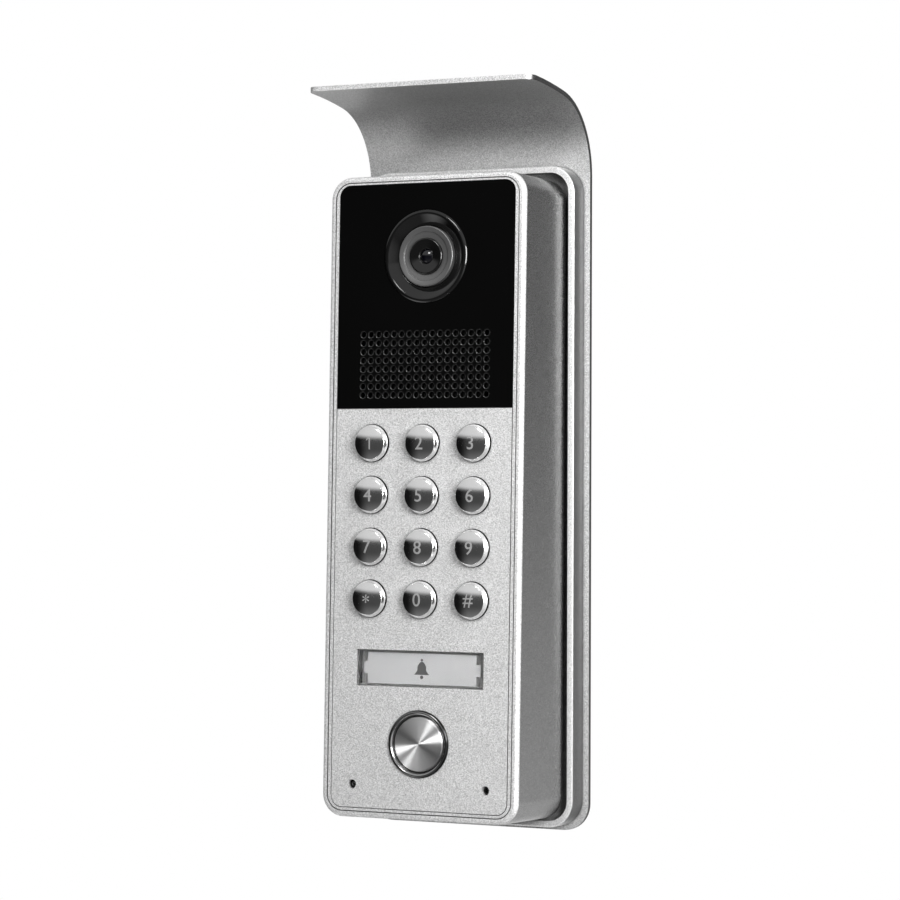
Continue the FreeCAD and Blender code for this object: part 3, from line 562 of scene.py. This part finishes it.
def lettering(text):
    """The figure's flat outline, one unit to the em and one unit thick, as a closed mesh."""
    bm = bmesh.new()
    if text == "1":
        slab(bm, [(x, y, HALF_THICK) for x, y in ONE], [(x, y, -HALF_THICK) for x, y in ONE])
        bmesh.ops.triangulate(bm, faces=bm.faces)
        return bm
    curve = bpy.data.curves.new("lettering", "FONT")
    curve.body = text
    curve.extrude = HALF_THICK
    curve.offset = 0.004        # a little bolder than the font
    curve.resolution_u = 6
    draft = bpy.data.objects.new("lettering", curve)
    scene.collection.objects.link(draft)
    bpy.context.view_layer.update()
    evaluated = draft.evaluated_get(bpy.context.evaluated_depsgraph_get())
    mesh = bpy.data.meshes.new_from_object(evaluated)
    bpy.data.objects.remove(draft)
    bm.from_mesh(mesh)
    bpy.data.meshes.remove(mesh)
    bmesh.ops.remove_doubles(bm, verts=bm.verts, dist=1e-5)
    return bm


def figure(name, text, x, z):
    """A figure as a thin skin on the key's crown."""
    bm = lettering(text)
    scale = FIGURE_HEIGHT / CAP_HEIGHT
    xs = [v.co.x for v in bm.verts]
    ys = [v.co.y for v in bm.verts]
    middle_x = (min(xs) + max(xs)) / 2
    middle_y = (min(ys) + max(ys)) / 2
    for v in bm.verts:
        v.co = Vector(((v.co.x - middle_x) * scale, v.co.z, (v.co.y - middle_y) * scale))
    for axis in (Vector((1, 0, 0)), Vector((0, 0, 1))):
        for i in range(-FIGURE_CELLS, FIGURE_CELLS + 1):
            everything = list(bm.verts) + list(bm.edges) + list(bm.faces)
            bmesh.ops.bisect_plane(bm, geom=everything, plane_co=axis * (i * FIGURE_CELL), plane_no=axis)
    sphere = (CROWN_EDGE_R ** 2 + (CROWN_EDGE - CROWN_TOP) ** 2) / (2 * (CROWN_EDGE - CROWN_TOP))
    for v in bm.verts:
        reach = v.co.x ** 2 + v.co.z ** 2
        surface = CROWN_TOP + sphere - math.sqrt(sphere ** 2 - reach)
        v.co = Vector((v.co.x, surface + math.copysign(FIGURE_OUT, v.co.y), v.co.z)) * MM
    return placed_piece(name, bm, FIGURE_GREY, x, z)


for body in sorted(b for b in frame["bodies"] if b.startswith("key_")):
    key_x, key_z = centre_of(body)
    key = turned(body + "_cap", KEY_OUTLINE, MATERIALS["key_chrome"], key_x, key_z, corner=KEY_CORNER)
    # Painted shade: from that depth inward the key's wall is black, for the shadow in the gap round the key.
    key.data.materials.append(KEY_SHADE_BLACK)
    for face in key.data.polygons:
        face.material_index = int(face.center.y > KEY_SHADE_DEPTH * MM)
    stand_in(key, body, body)
    label = body[len("key_"):]
    mark = figure(body + "_figure", FIGURES.get(label, label), key_x, key_z)
    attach(mark, body)


# --- camera and call button ------------------------------------------------------------------
CAMERA_AT = centre_of("camera_ring")[1]
BUTTON_AT = centre_of("call_button_body")[1]

# Each turned node's slot and its outline.
TURNED = {
    "camera_ring": ("black_gloss", [
        (9.75, 1.3), (10.2, 1.3), (12.85, -0.25), ((13.7, -0.5), (14.45, -0.1)), (14.55, 0.2), (14.55, 2.05),
        (16.5, 2.05), (16.5, 6.0), (14.8, 6.0), (14.8, 7.2), (9.75, 7.2),
    ]),
    "lens_barrel": ("grey_satin", [
        (5.75, 0.55), (7.6, 0.42), (7.75, 0.1), (9.0, -0.1), ((9.35, 0.0), (9.45, 0.3)), (9.45, 14), (4, 14),
        (4, 12), (5.75, 12),
    ]),
    "lens_retainer": ("black_gloss", [
        (2.18, 0.75), (2.5, 0.25), (5.1, -0.25), ((5.45, -0.22), (5.7, 0.1)), (5.7, 5), (2.18, 5),
    ]),
    "call_button_body": ("dark_chrome", [
        (8.7, 0.55), (9.15, -0.35), ((9.75, -0.75), (10.35, -0.4)), (10.5, -0.1), (10.5, 0), (9.8, 0),
        (9.8, 12.5), (3.4, 12.5), (3.4, 11), (8.7, 11),
    ]),
    "call_button_cap": ("brushed_steel", [
        (0, -0.12), (8.1, -0.1), (8.45, 0.2), (8.45, 4), (3.1, 4), (3.1, 12.6), (4.6, 12.6), (4.6, 13.2),
        (3.1, 13.2), (3.1, 13.3), (0, 13.3),
    ]),
}
BODIES = frame["record"]["behaviour"]["bodies"]
BODY_OF = {node: body for body, members in BODIES.items() for node in members}
for node, (slot, outline) in TURNED.items():
    up = BUTTON_AT if node.startswith("call_button") else CAMERA_AT
    piece = turned(node + "_turned", outline, MATERIALS[slot], 0, up)
    stand_in(piece, node, BODY_OF[node])


def lens_glass_pieces():
    """The front glass in the pupil and the larger one behind it."""
    front = crown(0.2, 2.15, 0.85) + [(2.15, 3), (0, 3)]
    rear = crown(6, 5, 6.9) + [(5, 8.5), (0, 8.5)]
    for name, outline in (("lens_glass_front", front), ("lens_glass_rear", rear)):
        piece = turned(name, outline, MATERIALS["lens_glass"], 0, CAMERA_AT)
        stand_in(piece, "lens_glasses", "panel")


lens_glass_pieces()


# --- the picture of a bell on the name card --------------------------------------------------
def bell_outline():
    """A bell's outline in mm about its middle: a dome that flares to the rim."""
    top, tall = 2.3, 4.1
    dome, shoulder = 1.5, 2.6       # the dome's half width, and how soon it is reached
    flare, flare_from = 1.15, 0.62  # what the rim adds, and the share of the height where that starts
    steps = 24
    right = []
    for i in range(steps + 1):
        t = i / steps
        height = top - tall * t
        spread = max(0.0, t - flare_from) ** 1.5 / (1 - flare_from) ** 1.5
        right.append((dome * math.sqrt(min(1.0, shoulder * t)) + flare * spread, height))
    return right + [(-w, h) for w, h in reversed(right) if w > 0]


def bell_picture():
    """Printed on the card: a bell with its knob and clapper."""
    card_face, thickness = 1.75, 0.02
    steps = 28
    knob = circle(0.42, steps, 0, 2.75)
    clapper = circle(0.55, steps, 0, -2.55)
    bm = bmesh.new()
    for shape in (bell_outline(), knob, clapper):
        slab(bm, [(x * MM, (card_face - thickness) * MM, z * MM) for x, z in shape],
             [(x * MM, card_face * MM, z * MM) for x, z in shape])
    piece = placed_piece("bell_picture", bm, PRINTED_GREY, 0, centre_of("name_card")[1])
    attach(piece, "panel")


bell_picture()


# --- speaker holes ---------------------------------------------------------------------------
def speaker_hole_rims():
    """The rounded lip of each speaker hole in the black window."""
    columns, rows = 17, 8
    pitch, middle = 2.7, 40.96
    hole, lip = 0.95, 0.14      # the radius of a hole, and of its rounded edge
    window_face = 0.08
    reach = 0.5                 # how deep the rim goes into the hole
    out = 0.03                  # how far it stands out of the window
    foot = 0.02                 # how far its outer edge is sunk into the window
    steps, lip_steps = 24, 6
    profile = [(hole, window_face + reach), (hole, window_face + lip)]
    profile += [
        (hole + lip * (1 - math.cos(a)), window_face - out + lip * (1 - math.sin(a)))
        for a in (math.pi / 2 * i / lip_steps for i in range(1, lip_steps + 1))
    ]
    profile += [(hole + lip + foot, window_face + foot)]
    bm = bmesh.new()
    for column in range(columns):
        for row in range(rows):
            x = (column - (columns - 1) / 2) * pitch
            z = middle + (row - (rows - 1) / 2) * pitch
            loops = []
            for radius, depth in profile:
                around = circle(radius, steps, x, z)
                loops.append([bm.verts.new((px * MM, depth * MM, pz * MM)) for px, pz in around])
            for one, two in zip(loops, loops[1:] + loops[:1]):
                for i in range(steps):
                    j = (i + 1) % steps
                    bm.faces.new((one[i], one[j], two[j], two[i]))
    rims = placed_piece("speaker_hole_rims", bm, RIM_GLOSS)
    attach(rims, "panel")


speaker_hole_rims()


# --- the CAD nodes that stay take their slot's material ---------------------------------------
for part in frame["record"]["subparts"]:
    for held in nodes[part["node"]].material_slots:
        held.material = MATERIALS[part["material_slot"]]
OWN_MATERIALS = {
    "name_holder": HOLDER_GREY,
    "status_light": SMOKED,
}
for node, material in OWN_MATERIALS.items():
    for held in nodes[node].material_slots:
        held.material = material


# --- floor, light and camera ------------------------------------------------------------------
def pale_floor():
    """A round pale floor well below the panel, which hangs on a wall."""
    radius, height = 0.42, -1.15
    steps = 96
    mesh = bpy.data.meshes.new("floor")
    rim = [(x, y, height) for x, y in circle(radius, steps)]
    mesh.from_pydata(rim, [], [range(steps)])
    made = bpy.data.objects.new("floor", mesh)
    scene.collection.objects.link(made)
    s = Shader("floor_pale")
    cloud = s.noise(0.4)
    mesh.materials.append(s.finish(
        Base_Color=s.mix(cloud, grey(0.86), grey(0.9)),
        Roughness=0.9,
        Emission_Color=grey(1.0),
        Emission_Strength=0.12,
    ))


def studio():
    """Light by direction, as in a photo tent: bright above, behind and at the right, and dark in front and
    at the left, but for a glow low at the left. Behind, at the right, is a darker patch. The camera itself
    sees plain white.
    """
    world = bpy.data.worlds.new("studio")
    world.use_nodes = True
    scene.world = world
    s = Tree(world.node_tree)
    direction = s.node("ShaderNodeTexCoord").outputs["Generated"]
    parts = s.node("ShaderNodeSeparateXYZ")
    s.set(parts.inputs[0], direction)
    x, y, z = parts.outputs

    # In front.
    dark = s.maths("MULTIPLY", s.spread(z, 0.20, 0.065, -0.62, -0.15), s.spread(x, 0.10, 1.0, -0.80, -0.44))
    upper = s.spread(z, 0.0, 0.66, 0.16, 0.32)
    right = s.maths("MULTIPLY", s.spread(x, 0.0, 1.1, 0.30, 0.80), s.spread(z, 0.1, 1.0, -0.80, -0.30))
    front = s.maths("MAXIMUM", s.maths("ADD", dark, upper), right)
    low_left = s.maths("MULTIPLY", s.spread(x, 2.2, 0.0, -0.75, -0.20), s.spread(z, 1.0, 0.0, -0.80, -0.40))
    front = s.maths("MAXIMUM", front, low_left)

    # Behind.
    shade = s.maths("MULTIPLY", s.spread(x, 0.0, 1.0, 0.05, 0.30), s.spread(x, 1.0, 0.0, 0.65, 0.85))
    shade = s.maths("MULTIPLY", shade, s.spread(z, 0.0, 1.0, -0.13, 0.04))
    shade = s.maths("MULTIPLY", shade, s.spread(z, 1.0, 0.0, 0.45, 0.70))
    back = s.maths("SUBTRACT", 1.0, s.maths("MULTIPLY", shade, 0.85))
    back = s.maths("MULTIPLY", back, s.spread(z, 0.2, 1.0, -0.85, -0.35))

    # Both together.
    behind = s.spread(y, 0.0, 1.0, -0.05, 0.30)
    level = s.maths("ADD", s.maths("MULTIPLY", front, s.maths("SUBTRACT", 1.0, behind)),
                    s.maths("MULTIPLY", behind, back))
    seen = s.node("ShaderNodeLightPath").outputs["Is Camera Ray"]
    shown = s.maths("ADD", s.maths("MULTIPLY", level, s.maths("SUBTRACT", 1.0, seen)), seen)
    background = world.node_tree.nodes["Background"]
    s.set(background.inputs["Strength"], shown)
    background.inputs["Color"].default_value = grey(1.0)


def softbox(name, place, size, power):
    """A soft rectangular light that looks at the panel's middle. The camera doesn't see it."""
    light = bpy.data.lights.new(name, "AREA")
    light.shape = "RECTANGLE"
    light.size, light.size_y = size
    light.energy = power
    lamp = bpy.data.objects.new(name, light)
    lamp.location = place
    lamp.rotation_mode = "QUATERNION"
    lamp.rotation_quaternion = (-Vector(place)).to_track_quat("-Z", "Y")
    lamp.visible_camera = False
    scene.collection.objects.link(lamp)


def make_camera():
    """The camera that took the picture: a long lens a metre away, to the right of the face."""
    camera = bpy.data.objects.new("camera", bpy.data.cameras.new("camera"))
    camera.data.lens = CAMERA_LENS
    camera.data.sensor_width = SENSOR
    right, up = Vector(CAMERA_RIGHT).normalized(), Vector(CAMERA_UP).normalized()
    turn = Matrix((right, up, right.cross(up))).transposed()
    camera.matrix_world = Matrix.Translation(CAMERA_PLACE) @ turn.to_4x4()
    scene.collection.objects.link(camera)
    scene.camera = camera


pale_floor()
studio()
softbox("upper_front_light", place=(0.00, -1.05, 0.78), size=(0.38, 0.24), power=4.3)
softbox("right_light", place=(0.44, -0.32, 0.12), size=(0.26, 0.26), power=4.8)
make_camera()
scene.view_settings.view_transform = "Standard"
